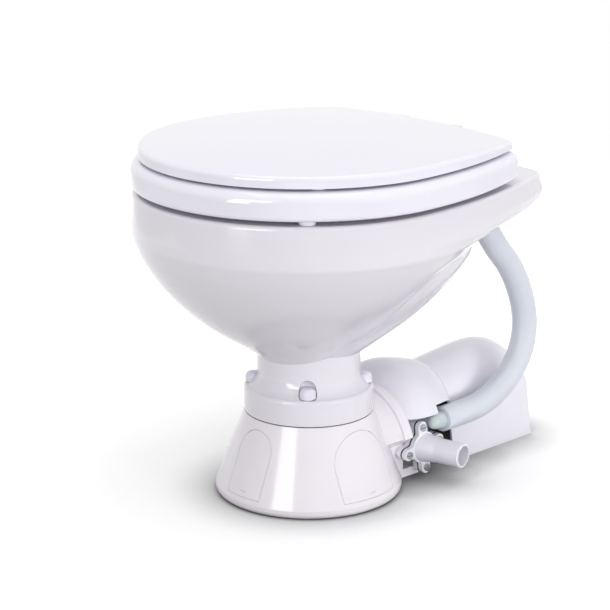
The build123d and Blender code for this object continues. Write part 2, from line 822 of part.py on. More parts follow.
inlet_corner = Vector(inlet_x, inlet_corner_y, inlet_z)
hose_heading = (Vector(*hose_route[-1]) - inlet_corner).normalized()
inlet_barb = Plane(inlet_corner, z_dir=hose_heading)
with BuildPart() as inlet_elbow:
    rod(inlet_line.offset(overrun), elbow_leg_r - slip_gap, inlet_corner_y - grommet_y - overrun)
    ball(inlet_corner, hub_r)
    barb(inlet_barb, hub_r + barb_len)
    rod(inlet_line, elbow_bore_r, inlet_corner_y - grommet_y, mode=Mode.SUBTRACT)
    rod(inlet_barb, elbow_bore_r, 2 * barb_len, mode=Mode.SUBTRACT)
    ball(inlet_corner, elbow_bore_r, mode=Mode.SUBTRACT)
inlet_elbow.part.label = "inlet_elbow"

# Flush hose: straight runs joined by the largest arcs that they allow
hose_end = inlet_corner + hose_heading * (hub_r + slip_gap)
hose_points = [Vector(*point) for point in hose_route] + [hose_end]
hose_radii = []
for before, corner, after in zip(hose_points, hose_points[1:], hose_points[2:]):
    turn = radians((corner - before).get_angle(after - corner))
    run = min((corner - before).length, (after - corner).length)
    hose_radii.append(hose_arc_share * run / tan(turn / 2))
print("hose radii", [round(radius, 1) for radius in hose_radii])
with BuildPart() as flush_hose:
    with BuildLine() as hose_path:
        FilletPolyline(*hose_points, radius=hose_radii)
    with BuildSketch(Plane(hose_points[0], z_dir=hose_points[1] - hose_points[0])) as hose_cut:
        Circle(hose_r)
        Circle(hose_bore_r, mode=Mode.SUBTRACT)
    sweep(hose_cut.sketch, path=hose_path.line)
flush_hose.part.label = "flush_hose"
hose_length = hose_path.wires()[0].length
hose_volume = hose_length * hose_cut.sketch.area
print("hose length", round(hose_length, 1))
print("hose volume over section times length", round(flush_hose.part.volume / hose_volume, 4))

# Band clamp on the upper end of the hose, under the deck
clamp_plane = Plane(
    hose_end + hose_heading * clamp_setback, x_dir=Vector(-1, 0, 0).cross(hose_heading),
    z_dir=hose_heading,
)
with BuildPart() as hose_clamp:
    ring(clamp_plane, hose_r + slip_gap + clamp_t, hose_r + slip_gap, clamp_w)
    with BuildSketch(clamp_plane) as housing:
        with Locations((0, hose_r + slip_gap + clamp_t / 2)):
            Rectangle(clamp_housing * 2, clamp_housing, align=(Align.CENTER, Align.MIN))
        Circle(hose_r + slip_gap, mode=Mode.SUBTRACT)
    extrude(housing.sketch, amount=clamp_w)
hose_clamp.part.label = "hose_clamp"


def groove(y):
    """The groove of an O-ring in a housing's front face."""
    ring(
        station(y), o_ring_r + o_ring_groove_w, o_ring_r - o_ring_groove_w, o_ring_groove_t,
        mode=Mode.SUBTRACT,
    )


def tie_spots(radius, plane, length, mode=Mode.ADD):
    """Four round bars on the pattern of the pump's tie screws."""
    with BuildSketch(plane) as spots:
        for angle in (tie_screw_deg, 180 - tie_screw_deg, 180 + tie_screw_deg, -tie_screw_deg):
            with PolarLocations(tie_screw_ring_r, 1, start_angle=angle):
                Circle(radius)
    extrude(spots.sketch, amount=length, mode=mode)


# Macerator housing, the first ring of the pump, round the chopper
with BuildPart() as macerator_housing:
    ring(station(macerator_y), pump_body_r, chamber_r, macerator_len - wear_plate_t)
    ring(
        station(discharge_y - wear_plate_t), pump_body_r, wear_plate_r + slip_gap, wear_plate_t
    )
    groove(macerator_y)
    tie_spots(tie_screw_r + screw_gap, station(macerator_y), macerator_len, Mode.SUBTRACT)
macerator_housing.part.label = "macerator_housing"

# Steel wear plate with its eye, let into the macerator housing
with BuildPart() as wear_plate:
    ring(station(discharge_y - wear_plate_t), wear_plate_r, wear_plate_eye_r, wear_plate_t)
wear_plate.part.label = "wear_plate"

# O-rings in the front faces of the three housings
with BuildPart() as housing_seals:
    for start_y in (macerator_y, discharge_y, rinse_y):
        with Locations(station(start_y + o_ring_groove_t / 2).location):
            Torus(o_ring_r, o_ring_cord_r)
housing_seals.part.label = "housing_seals"

# Discharge housing: pump chamber and the boss that carries the port
port_face = facing_right(port_face_x, port_y, port_z)


def port_pattern(radius):
    """Round spots on the port's four screws."""
    with PolarLocations(port_pattern_r, 4, start_angle=90 + port_pattern_deg):
        Circle(radius)


def port_plate(plane, hub_r, length):
    """A round hub with four ears that run out to the screws."""
    with BuildSketch(plane) as plate:
        Circle(hub_r)
        for turn in range(4):
            with PolarLocations(port_pattern_r / 2, 1, start_angle=90 + port_pattern_deg + 90 * turn):
                Rectangle(port_pattern_r, 2 * port_lobe_r)
        port_pattern(port_lobe_r)
        fillet(plate.vertices(), port_lobe_r / 2)
    extrude(plate.sketch, amount=length)


with BuildPart() as discharge_housing:
    rod(station(discharge_y), pump_body_r, discharge_len)
    rod(port_face.offset(-port_face_x), discharge_len / 2, port_face_x)
    port_plate(port_face.offset(-port_plate_t), port_boss_r, port_plate_t)
    rod(station(discharge_y), chamber_r, discharge_len - pump_back_wall, mode=Mode.SUBTRACT)
    rod(port_face.offset(-port_face_x + chamber_r / 2), port_bore_r, port_face_x, mode=Mode.SUBTRACT)
    rod(station(discharge_y), seal_r + slip_gap, discharge_len, mode=Mode.SUBTRACT)
    groove(discharge_y)
    tie_spots(tie_screw_r + screw_gap, station(discharge_y), discharge_len, Mode.SUBTRACT)
    with BuildSketch(port_face) as port_holes:
        port_pattern(port_screw_r + running_gap)
    extrude(port_holes.sketch, amount=-port_plate_t, mode=Mode.SUBTRACT)
discharge_housing.part.label = "discharge_housing"

# Joker valve: a rubber flange with a duckbill that lies in the port
valve_seat = port_face.offset(valve_flange_t)
with BuildPart() as joker_valve:
    port_plate(port_face, port_boss_r, valve_flange_t)
    with BuildSketch(port_face) as valve_holes:
        port_pattern(port_screw_r + screw_gap)
        Circle(valve_r - valve_wall)
    extrude(valve_holes.sketch, amount=valve_flange_t, mode=Mode.SUBTRACT)
    with BuildSketch(valve_seat) as bill_root:
        Circle(valve_r)
    with BuildSketch(valve_seat.offset(valve_len)) as bill_tip:
        Ellipse(valve_tip_t, valve_tip_w)
    loft([bill_root.sketch, bill_tip.sketch])
    with BuildSketch(valve_seat.offset(-valve_flange_t)) as bore_root:
        Circle(valve_r - valve_wall)
    with BuildSketch(valve_seat.offset(valve_len)) as bore_tip:
        Ellipse(valve_tip_t - valve_wall, valve_tip_w - valve_wall)
    loft([bore_root.sketch, bore_tip.sketch], mode=Mode.SUBTRACT)
joker_valve.part.label = "joker_valve"

# Discharge port: flange with four ears and a smooth tube that leans to the back
port_seat = port_face.offset(valve_flange_t)
tube_swing = radians(port_swing_deg)
port_root = Vector(port_face_x + valve_flange_t, port_y, port_z)
port_heading = Vector(cos(tube_swing), sin(tube_swing), 0)
port_line = Plane(port_root, x_dir=(0, 0, 1), z_dir=port_heading)
port_reach = port_tube_len + valve_flange_t
with BuildPart() as discharge_port:
    port_plate(port_seat, port_boss_r, port_flange_t)
    with Locations(port_line.location):
        Cylinder(port_tube_r, port_reach, align=rise)
        Cone(port_neck_r, port_tube_r, port_flange_t + port_neck_len, align=rise)
    chamfer(discharge_port.edges().sort_by(Axis.X)[-1], port_bevel)
    rod(port_seat.offset(-port_tube_r), 2 * port_boss_r, port_tube_r, mode=Mode.SUBTRACT)
    rod(port_line.offset(-port_tube_r), port_tube_r - port_tube_wall, 2 * port_reach, mode=Mode.SUBTRACT)
    with BuildSketch(port_seat) as ear_holes:
        port_pattern(port_screw_r + screw_gap)
    extrude(ear_holes.sketch, amount=port_flange_t, mode=Mode.SUBTRACT)
discharge_port.part.label = "discharge_port"

with BuildPart() as port_screws:
    for turn in range(4):
        angle = radians(90 + port_pattern_deg + 90 * turn)
        spot = facing_right(
            port_face_x + valve_flange_t + port_flange_t, port_y + port_pattern_r * cos(angle),
            port_z + port_pattern_r * sin(angle),
        )
        screw(
            spot, port_screw_r, port_flange_t + valve_flange_t + port_plate_t - overrun,
            port_screw_head_r, port_screw_head_t,
        )
port_screws.part.label = "port_screws"

# Rinse pump: body, steel cover plate, outlet elbow and inlet barb
rinse_out_y = rinse_y + rinse_out_back
rinse_out_z = pump_z + rinse_out_lift
rinse_in_y = rinse_y + rinse_in_back
rinse_in_z = pump_z - rinse_in_drop
out_corner = Vector(rinse_elbow_x, rinse_out_y, rinse_out_z)
out_leg = facing_right(rinse_chamber_r, rinse_out_y, rinse_out_z)
out_barb = Plane(out_corner, z_dir=(0, 1, 0))
in_line = Plane((-rinse_chamber_r / 2, rinse_in_y, rinse_in_z), z_dir=(-1, 0, 0))
with BuildPart() as rinse_pump_body:
    rod(station(rinse_y), pump_body_r, rinse_len)
    rod(in_line, rinse_in_flange_r, pump_body_r - rinse_chamber_r / 2)
    rod(station(rinse_y), rinse_chamber_r, rinse_len - pump_back_wall, mode=Mode.SUBTRACT)
    rod(
        station(rinse_y), rinse_chamber_r + 2 * overrun + slip_gap, rinse_plate_t,
        mode=Mode.SUBTRACT,
    )
    rod(station(rinse_y), seal_r + slip_gap, rinse_len, mode=Mode.SUBTRACT)
    rod(out_leg.offset(-overrun), rinse_leg_r + slip_gap, pump_body_r, mode=Mode.SUBTRACT)
    rod(in_line, barb_root_r + slip_gap, pump_body_r, mode=Mode.SUBTRACT)
    groove(rinse_y)
    tie_spots(tie_screw_r + screw_gap, station(rinse_y), rinse_len, Mode.SUBTRACT)
    tie_spots(
        tie_head_r + screw_gap, station(motor_plate_y - tie_head_t - joint_gap), tie_head_t + joint_gap,
        Mode.SUBTRACT,
    )
    with BuildSketch(station(motor_plate_y)) as bolt_taps:
        with Locations((through_bolt_x, 0), (-through_bolt_x, 0)):
            Circle(through_bolt_r + running_gap)
    extrude(bolt_taps.sketch, amount=-tie_screw_ring_r / 4, mode=Mode.SUBTRACT)
rinse_pump_body.part.label = "rinse_pump_body"

with BuildPart() as rinse_wear_plate:
    ring(station(rinse_y), rinse_chamber_r + 2 * overrun, shaft_r + screw_gap, rinse_plate_t)
rinse_wear_plate.part.label = "rinse_wear_plate"

with BuildPart() as rinse_outlet_elbow:
    rod(out_leg.offset(overrun), rinse_leg_r, rinse_elbow_x - rinse_chamber_r - overrun)
    ball(out_corner, rinse_elbow_hub_r)
    barb(out_barb, rinse_elbow_hub_r + barb_len)
    rod(out_leg, rinse_leg_bore_r, rinse_elbow_x - rinse_chamber_r, mode=Mode.SUBTRACT)
    rod(out_barb, elbow_bore_r, 2 * barb_len, mode=Mode.SUBTRACT)
    ball(out_corner, rinse_leg_bore_r, mode=Mode.SUBTRACT)
rinse_outlet_elbow.part.label = "rinse_outlet_elbow"

with BuildPart() as rinse_inlet_port:
    barb(in_line.offset(chamber_r - rinse_chamber_r / 2), pump_body_r - chamber_r + rinse_in_len)
    rod(
        in_line.offset(pump_body_r - rinse_chamber_r / 2), rinse_in_flange_r,
        rinse_in_flange_t,
    )
    rod(in_line, elbow_bore_r, 2 * pump_body_r, mode=Mode.SUBTRACT)
rinse_inlet_port.part.label = "rinse_inlet_port"

# Screws that tie the three pump housings to the base
with BuildPart() as pump_tie_screws:
    for lift in (1, -1):
        for side in (1, -1):
            spot = Plane(
                (
                    side * tie_screw_ring_r * cos(radians(tie_screw_deg)),
                    motor_plate_y - tie_head_t - joint_gap,
                    pump_z + lift * tie_screw_ring_r * sin(radians(tie_screw_deg)),
                ),
                z_dir=(0, 1, 0),
            )
            screw(
                spot, tie_screw_r, motor_plate_y - tie_head_t - arch_end_y + arch_back_wall - 2 * overrun,
                tie_head_r, tie_head_t,
            )
pump_tie_screws.part.label = "pump_tie_screws"

# Lip seals on the shaft, one in each housing's back wall
with BuildPart() as shaft_seals:
    for back_y in (rinse_y, motor_plate_y):
        ring(station(back_y - seal_len), seal_r, shaft_r + running_gap, seal_len)
shaft_seals.part.label = "shaft_seals"

# Motor: front plate, can, end bell, bearings, magnets, brushes, through bolts
with BuildPart() as motor_front_plate:
    ring(station(motor_plate_y), motor_r, bearing_r, motor_plate_t)
    with BuildSketch(station(motor_plate_y)) as plate_holes:
        with Locations((through_bolt_x, 0), (-through_bolt_x, 0)):
            Circle(through_bolt_r + screw_gap)
    extrude(plate_holes.sketch, amount=motor_plate_t, mode=Mode.SUBTRACT)
motor_front_plate.part.label = "motor_front_plate"

with BuildPart() as motor_can:
    ring(station(motor_y), motor_r, motor_r - motor_can_t, motor_len)
motor_can.part.label = "motor_can"

with BuildPart() as motor_end_bell:
    rod(station(end_bell_y), motor_r, end_bell_t)
    fillet(motor_end_bell.edges().group_by(Axis.Y)[-1], end_bell_wall)
    rod(station(end_bell_y), motor_r - end_bell_wall, end_bell_t - end_bell_wall, mode=Mode.SUBTRACT)
    ring(station(end_bell_y), bearing_r + end_bell_wall, bearing_r, end_bell_t)
    with BuildSketch(station(end_bell_y)) as bell_holes:
        with Locations((through_bolt_x, 0), (-through_bolt_x, 0)):
            Circle(through_bolt_r + screw_gap)
    extrude(bell_holes.sketch, amount=end_bell_t, mode=Mode.SUBTRACT)
motor_end_bell.part.label = "motor_end_bell"

with BuildPart() as motor_bearings:
    for start_y in (motor_plate_y, end_bell_y):
        ring(station(start_y), bearing_r, shaft_r + running_gap, bearing_len)
motor_bearings.part.label = "motor_bearings"

magnet_y = motor_y + magnet_setback
with BuildPart() as motor_magnets:
    with BuildSketch(station(magnet_y)) as magnet_face:
        Circle(motor_r - motor_can_t)
        Circle(motor_r - motor_can_t - magnet_t, mode=Mode.SUBTRACT)
        Rectangle(2 * motor_r, 2 * magnet_side_gap, mode=Mode.SUBTRACT)
    extrude(magnet_face.sketch, amount=magnet_len)
motor_magnets.part.label = "motor_magnets"

commutator_y = end_bell_y - commutator_len - bearing_len
with BuildPart() as motor_brushes:
    for side in (1, -1):
        with Locations((side * (commutator_r + joint_gap), commutator_y + commutator_len / 2, pump_z)):
            Box(
                brush_len, brush_w, brush_w,
                align=(Align.MIN if side > 0 else Align.MAX, Align.CENTER, Align.CENTER),
            )
motor_brushes.part.label = "motor_brushes"

# Brush ring, a moulded disc inside the can that carries the brushes
with BuildPart() as brush_ring:
    ring(
        station(commutator_y + commutator_len / 2 - brush_w), motor_r - motor_can_t,
        commutator_r + brush_len / 2, 2 * brush_w,
    )
    with Locations((0, commutator_y + commutator_len / 2, pump_z)):
        Box(2 * (commutator_r + brush_len + joint_gap), brush_w, brush_w, mode=Mode.SUBTRACT)
    with BuildSketch(station(end_bell_y)) as ring_holes:
        with Locations((through_bolt_x, 0), (-through_bolt_x, 0)):
            Circle(through_bolt_r + screw_gap)
    extrude(ring_holes.sketch, amount=-motor_len, mode=Mode.SUBTRACT)
brush_ring.part.label = "brush_ring"

with BuildPart() as motor_through_bolts:
    for side in (1, -1):
        spot = Plane((side * through_bolt_x, end_bell_y + end_bell_t, pump_z), z_dir=(0, 1, 0))
        screw(
            spot, through_bolt_r, end_bell_t + motor_len + motor_plate_t + tie_screw_ring_r / 4 - overrun,
            through_bolt_head_r, through_bolt_head_t,
        )
motor_through_bolts.part.label = "motor_through_bolts"

# Rubber saddle that carries the motor's free end on the floor
saddle_y = end_bell_y - saddle_len
with BuildPart() as motor_saddle:
    with Locations((0, saddle_y, 0)):
        Box(saddle_w, saddle_len, saddle_top_z, align=(Align.CENTER, Align.MIN, Align.MIN))
    rod(station(saddle_y), motor_r + slip_gap, saddle_len, mode=Mode.SUBTRACT)
motor_saddle.part.label = "motor_saddle"

# Rotor: shaft, armature with slots, windings and commutator
shaft_start_y = macerator_y + 2 * overrun
shaft_end_y = end_bell_y + bearing_len
with BuildPart() as motor_shaft:
    rod(station(shaft_start_y), shaft_r, shaft_end_y - shaft_start_y)
    chamfer(motor_shaft.edges().filter_by(GeomType.CIRCLE), shaft_r / 8)
motor_shaft.part.label = "motor_shaft"

armature_y = magnet_y + (magnet_len - armature_len) / 2
with BuildPart() as armature:
    with BuildSketch(station(armature_y)) as lamination:
        Circle(armature_r)
        Circle(shaft_r + slip_gap, mode=Mode.SUBTRACT)
        with PolarLocations(armature_r - armature_slot_depth / 2, armature_slots):
            Rectangle(armature_slot_depth + 2 * overrun, armature_slot_w, mode=Mode.SUBTRACT)
    extrude(lamination.sketch, amount=armature_len)
armature.part.label = "armature"

with BuildPart() as armature_windings:
    for start_y in (armature_y - winding_len, armature_y + armature_len):
        ring(station(start_y), winding_r, shaft_r + slip_gap, winding_len)
    fillet(armature_windings.edges().filter_by(GeomType.CIRCLE).filter_by(
        lambda edge: edge.radius > winding_r - slip_gap), winding_len / 3)
armature_windings.part.label = "armature_windings"

with BuildPart() as commutator:
    ring(station(commutator_y), commutator_r, shaft_r + slip_gap, commutator_len)
commutator.part.label = "commutator"

# Chopper plate with two blades in front of the wear plate
chopper_y = macerator_y + 3 * overrun
with BuildPart() as chopper_plate:
    rod(station(chopper_y), chopper_hub_r, chopper_t)
    with BuildSketch(station(chopper_y)) as blades:
        Rectangle(2 * chopper_r, chopper_blade_w)
        Circle(chopper_r, mode=Mode.INTERSECT)
    extrude(blades.sketch, amount=chopper_t)
    rod(station(chopper_y), shaft_r + slip_gap, chopper_t, mode=Mode.SUBTRACT)
chopper_plate.part.label = "chopper_plate"

# Centrifugal impeller: back plate and straight vanes
impeller_y = discharge_y + 2 * overrun
with BuildPart() as waste_impeller:
    with BuildSketch(station(impeller_y)) as vanes:
        Circle(chopper_hub_r)
        for vane in range(impeller_vanes):
            with PolarLocations(impeller_r / 2, 1, start_angle=360 / impeller_vanes * vane):
                Rectangle(impeller_r, impeller_vane_t)
        Circle(impeller_r, mode=Mode.INTERSECT)
    extrude(vanes.sketch, amount=impeller_len)
    rod(station(impeller_y + impeller_len - impeller_plate_t), impeller_r, impeller_plate_t)
    rod(station(impeller_y), shaft_r + slip_gap, impeller_len, mode=Mode.SUBTRACT)
waste_impeller.part.label = "waste_impeller"

# Rubber vaned impeller of the rinse pump
rinse_impeller_y = rinse_y + rinse_plate_t + joint_gap
rinse_impeller_len = rinse_len - rinse_plate_t - pump_back_wall - 2 * joint_gap
with BuildPart() as rinse_impeller:
    with BuildSketch(station(rinse_impeller_y)) as paddles:
        Circle(rinse_impeller_hub_r)
        for vane in range(rinse_vanes):
            angle = 360 / rinse_vanes * vane
            with PolarLocations(rinse_impeller_r / 2, 1, start_angle=angle):
                Rectangle(rinse_impeller_r - rinse_vane_t, rinse_vane_t)
            with PolarLocations(rinse_impeller_r - rinse_vane_t, 1, start_angle=angle):
                Circle(rinse_vane_t)
        Circle(shaft_r + slip_gap, mode=Mode.SUBTRACT)
    extrude(paddles.sketch, amount=rinse_impeller_len)
rinse_impeller.part.label = "rinse_impeller"


def cover_section(y, spring_x, spring_z, top_z, foot_x, inset=0, drop=0):
    """One section of the cover: straight sides and an arched top."""
    with BuildSketch(Plane.XZ.offset(-y)) as section:
        with BuildLine():
            Polyline(
                (-spring_x + inset, spring_z), (-foot_x + inset, -drop), (foot_x - inset, -drop),
                (spring_x - inset, spring_z),
            )
            ThreePointArc(
                (spring_x - inset, spring_z), (0, top_z - inset), (-spring_x + inset, spring_z)
            )
        make_face()
    return section.sketch


def cover_loft(sections, foot_x, inset=0, drop=0):
    """The cover's sections in order, pulled in by an inset."""
    last = len(sections) - 1
    return [
        cover_section(
            y - (inset if place == last else 0), spring_x, spring_z, top_z, foot_x, inset, drop
        )
        for place, (y, spring_x, spring_z, top_z) in enumerate(sections)
    ]


# Motor cover: hood over the pump, hump over the motor, open below and in front
with BuildPart() as motor_cover:
    loft(cover_loft(hood_sections, cover_foot_x))
    loft(cover_loft(hump_sections, cover_foot_x))
    loft(cover_loft(hood_sections, cover_foot_x, cover_wall, overrun), mode=Mode.SUBTRACT)
    loft(cover_loft(hump_sections, cover_foot_x, cover_wall, overrun), mode=Mode.SUBTRACT)
    with Locations((0, arch_start_y, 0)):
        Box(
            4 * arch_r, cover_step_y - arch_start_y, 2 * cover_hood_low_z,
            align=(Align.CENTER, Align.MIN, Align.CENTER), mode=Mode.SUBTRACT,
        )
    rod(
        Plane((cover_notch_x, cover_notch_y, cover_notch_z), z_dir=(0, 1, 0)), cover_notch_r,
        cover_step_y - cover_notch_y, mode=Mode.SUBTRACT,
    )
    rod(
        Plane((-cover_foot_x - overrun, gland_y, gland_z), z_dir=(1, 0, 0)), gland_hole_r,
        cover_foot_x / 2, mode=Mode.SUBTRACT,
    )
motor_cover.part.label = "motor_cover"

# Rubber gland in the cover where the motor's leads come out
gland_x = cover_foot_x - (cover_foot_x - cover_waist_x) * gland_z / cover_waist_z
gland_tilt = gland_r * (cover_foot_x - cover_waist_x) / cover_waist_z + joint_gap
gland_line = Plane((-gland_x + 2 * cover_wall, gland_y, gland_z), z_dir=(-1, 0, 0))
with BuildPart() as lead_gland:
    ring(gland_line, gland_hole_r - joint_gap, gland_bore_r, 3 * cover_wall)
    ring(gland_line.offset(2 * cover_wall + gland_tilt), gland_r, gland_bore_r, gland_lip_t)
lead_gland.part.label = "lead_gland"

# Seat: an egg-shaped ring with rounded edges and two arms to the hinge
seat_knuckle_x = hinge_x + knuckle_w + knuckle_gap
lid_knuckle_x = hinge_x - knuckle_w - knuckle_gap
seat_pads = [
    (side * x, y) for side in (1, -1)
    for x, y in ((seat_bumper_x, seat_bumper_y), (seat_bumper_back_x, seat_bumper_back_y))
]
lid_pads = [
    (side * x, y) for side in (1, -1)
    for x, y in ((lid_bumper_x, lid_bumper_y), (lid_bumper_back_x, lid_bumper_back_y))
]


def hinge_arm(centre_x, points):
    """A flat arm along a bent line, with the knuckle at the hinge line."""
    with BuildSketch(Plane.YZ.offset(centre_x - knuckle_w / 2)) as side_face:
        with BuildLine():
            Polyline(*points, (hinge_y, hinge_z))
        trace(line_width=arm_t)
        with Locations((hinge_y, hinge_z)):
            Circle(knuckle_r)
            Circle(hinge_pin_r + running_gap, mode=Mode.SUBTRACT)
    extrude(side_face.sketch, amount=knuckle_w)


with BuildPart() as seat:
    with BuildSketch(Plane.XY.offset(seat_low_z)) as seat_plan:
        make_face(egg(seat_r, seat_back_half_w, seat_back_y))
        fillet(seat_plan.vertices().group_by(Axis.Y)[-1], seat_corner_r)
        with Locations((0, seat_hole_y)):
            Ellipse(seat_hole_half_w, seat_hole_half_len, mode=Mode.SUBTRACT)
    extrude(amount=seat_top_z - seat_low_z)
    seat_top_face = seat.faces().sort_by(Axis.Z)[-1]
    seat_low_face = seat.faces().sort_by(Axis.Z)[0]
    fillet(seat_top_face.outer_wire().edges(), seat_top_round)
    fillet(seat_low_face.outer_wire().edges(), seat_low_round)
    fillet(seat.faces().sort_by(Axis.Z)[-1].inner_wires()[0].edges(), seat_hole_round)
    with BuildSketch(Plane.XY.offset(seat_low_z)) as seat_sockets:
        with Locations(*seat_pads):
            Circle(seat_bumper_r + running_gap)
    extrude(seat_sockets.sketch, amount=bumper_seat_depth, mode=Mode.SUBTRACT)
    for side in (1, -1):
        hinge_arm(side * seat_knuckle_x, [(seat_back_y - seat_corner_r / 2, hinge_z)])
seat.part.label = "seat"

with BuildPart() as seat_bumpers:
    with BuildSketch(Plane.XY.offset(rim_z + joint_gap)):
        with Locations(*seat_pads):
            Circle(seat_bumper_r)
    extrude(amount=seat_low_z - rim_z - joint_gap + bumper_seat_depth)
    fillet(seat_bumpers.faces().sort_by(Axis.Z)[:4].edges(), overrun)
seat_bumpers.part.label = "seat_bumpers"

# Lid: a shallow crowned shell on the same plan, with its own two arms
crown = lid_top_z - lid_edge_z
crown_r = (lid_r**2 + crown**2) / (2 * crown)
with BuildPart() as lid:
    with BuildSketch(Plane.XY.offset(lid_low_z)) as lid_plan:
        make_face(egg(lid_r, lid_back_half_w, lid_back_y))
        fillet(lid_plan.vertices().group_by(Axis.Y)[-1], lid_corner_r)
    extrude(amount=lid_top_z - lid_low_z)
    with Locations((0, plan_y, lid_top_z - crown_r)):
        Sphere(crown_r, mode=Mode.INTERSECT)
    fillet(lid.faces().sort_by(Axis.Z)[-1].edges(), lid_edge_round)
    with BuildSketch(Plane.XY.offset(lid_low_z)) as lid_hollow:
        make_face(egg(lid_r - lid_rim_w, lid_back_half_w - lid_rim_w, lid_back_y - lid_rim_w))
        fillet(lid_hollow.vertices().group_by(Axis.Y)[-1], lid_corner_r)
    extrude(
        lid_hollow.sketch, amount=lid_edge_z - lid_low_z - lid_wall, mode=Mode.SUBTRACT
    )
    with BuildSketch(Plane.XY.offset(lid_low_z)) as lid_sockets:
        with Locations(*lid_pads):
            Circle(lid_bumper_r + running_gap)
    extrude(lid_sockets.sketch, amount=bumper_seat_depth, mode=Mode.SUBTRACT)
    for side in (1, -1):
        hinge_arm(
            side * lid_knuckle_x,
            [(lid_back_y, lid_arm_z), (arm_rise_y, lid_arm_z), (arm_bend_y, hinge_z)],
        )
lid.part.label = "lid"

with BuildPart() as lid_bumpers:
    with BuildSketch(Plane.XY.offset(seat_top_z + joint_gap)):
        with Locations(*lid_pads):
            Circle(lid_bumper_r)
    extrude(amount=lid_low_z - seat_top_z - joint_gap + bumper_seat_depth)
lid_bumpers.part.label = "lid_bumpers"

# Hinge posts on the deck with their pins, bolts, washers and wing-side nuts
with BuildPart() as hinge_posts:
    for side in (1, -1):
        rod(Plane((side * hinge_x, hinge_y, rim_z)), post_base_r, post_base_t)
        with BuildSketch(Plane.YZ.offset(side * hinge_x - knuckle_w / 2)) as post_side:
            with Locations((hinge_y, rim_z)):
                Rectangle(2 * knuckle_r, hinge_z - rim_z, align=(Align.CENTER, Align.MIN))
            with Locations((hinge_y, hinge_z)):
                Circle(knuckle_r)
                Circle(hinge_pin_r + running_gap, mode=Mode.SUBTRACT)
        extrude(post_side.sketch, amount=knuckle_w)
        rod(
            Plane((side * hinge_x, hinge_y, rim_z)), hinge_bolt_r + running_gap, post_base_t - overrun,
            mode=Mode.SUBTRACT,
        )
hinge_posts.part.label = "hinge_posts"

pin_len = 3 * knuckle_w + 4 * knuckle_gap
with BuildPart() as hinge_pins:
    for side in (1, -1):
        inner = facing_right(side * hinge_x - pin_len / 2, hinge_y, hinge_z)
        rod(inner, hinge_pin_r, pin_len)
        rod(inner.offset(pin_len), hinge_pin_head_r, hinge_pin_head_t)
        rod(inner.offset(-hinge_pin_head_t), hinge_pin_head_r, hinge_pin_head_t)
hinge_pins.part.label = "hinge_pins"

under_deck_z = rim_z - deck_top_t
with BuildPart() as hinge_bolts:
    for side in (1, -1):
        rod(
            Plane((side * hinge_x, hinge_y, hinge_bolt_low_z)), hinge_bolt_r,
            rim_z + post_base_t - 2 * overrun - hinge_bolt_low_z,
        )
hinge_bolts.part.label = "hinge_bolts"

with BuildPart() as hinge_washers:
    for side in (1, -1):
        ring(
            Plane((side * hinge_x, hinge_y, under_deck_z - hinge_washer_t)), hinge_washer_r,
            hinge_bolt_r + screw_gap, hinge_washer_t,
        )
hinge_washers.part.label = "hinge_washers"

with BuildPart() as hinge_nuts:
    with BuildSketch(Plane.XY.offset(under_deck_z - hinge_washer_t - hinge_nut_t)):
        with Locations((hinge_x, hinge_y), (-hinge_x, hinge_y)):
            RegularPolygon(hinge_nut_af / 2, 6, major_radius=False)
            Circle(hinge_bolt_r + running_gap, mode=Mode.SUBTRACT)
    extrude(amount=hinge_nut_t)
hinge_nuts.part.label = "hinge_nuts"

pieces = (
    base_housing, access_panels, bowl_gasket, bowl, bowl_bolts, bowl_washers, bowl_nuts,
    bowl_nut_caps, inlet_grommet, inlet_elbow, flush_hose, hose_clamp, macerator_housing,
    wear_plate, housing_seals, discharge_housing, joker_valve, discharge_port, port_screws,
    rinse_pump_body, rinse_wear_plate, rinse_outlet_elbow, rinse_inlet_port, pump_tie_screws,
    shaft_seals, motor_front_plate, motor_can, motor_end_bell, motor_bearings, motor_magnets,
    motor_brushes, brush_ring, motor_through_bolts, motor_saddle, motor_shaft, armature,
    armature_windings, commutator, chopper_plate, waste_impeller, rinse_impeller, motor_cover,
    lead_gland, seat, seat_bumpers, lid, lid_bumpers, hinge_posts, hinge_pins, hinge_bolts,
    hinge_washers, hinge_nuts,
)
for piece in pieces:
    export_step(piece.part, f"parts/{piece.part.label}.step")
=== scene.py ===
import math

import bmesh
import bpy
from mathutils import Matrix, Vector


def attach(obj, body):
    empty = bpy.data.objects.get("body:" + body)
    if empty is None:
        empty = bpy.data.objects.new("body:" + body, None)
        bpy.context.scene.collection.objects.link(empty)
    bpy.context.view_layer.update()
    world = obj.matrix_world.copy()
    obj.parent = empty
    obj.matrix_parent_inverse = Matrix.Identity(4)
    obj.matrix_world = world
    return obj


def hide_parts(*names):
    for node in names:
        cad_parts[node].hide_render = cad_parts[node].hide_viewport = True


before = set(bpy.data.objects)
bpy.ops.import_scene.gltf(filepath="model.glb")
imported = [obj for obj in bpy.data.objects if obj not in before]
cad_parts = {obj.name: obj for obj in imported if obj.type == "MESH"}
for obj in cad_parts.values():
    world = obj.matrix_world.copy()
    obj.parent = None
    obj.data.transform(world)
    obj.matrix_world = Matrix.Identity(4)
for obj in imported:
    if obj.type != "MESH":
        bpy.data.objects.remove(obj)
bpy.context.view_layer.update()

# Camera. It stands to the right of the front, a little above the rim, two
# metres away with a long lens, as for a catalogue picture.
camera_azimuth = math.radians(46.18)
camera_elevation = math.radians(16.06)
camera_distance = 2.1171
camera_aim = Vector((-0.00269, -0.0028, 0.19586))
camera_lens = 123.14
sensor_width = 36.0
camera_reach = 50
camera_data = bpy.data.cameras.new("camera")
camera_data.lens = camera_lens
camera_data.sensor_width = sensor_width
camera_data.clip_end = camera_reach
camera = bpy.data.objects.new("camera", camera_data)
bpy.context.scene.collection.objects.link(camera)
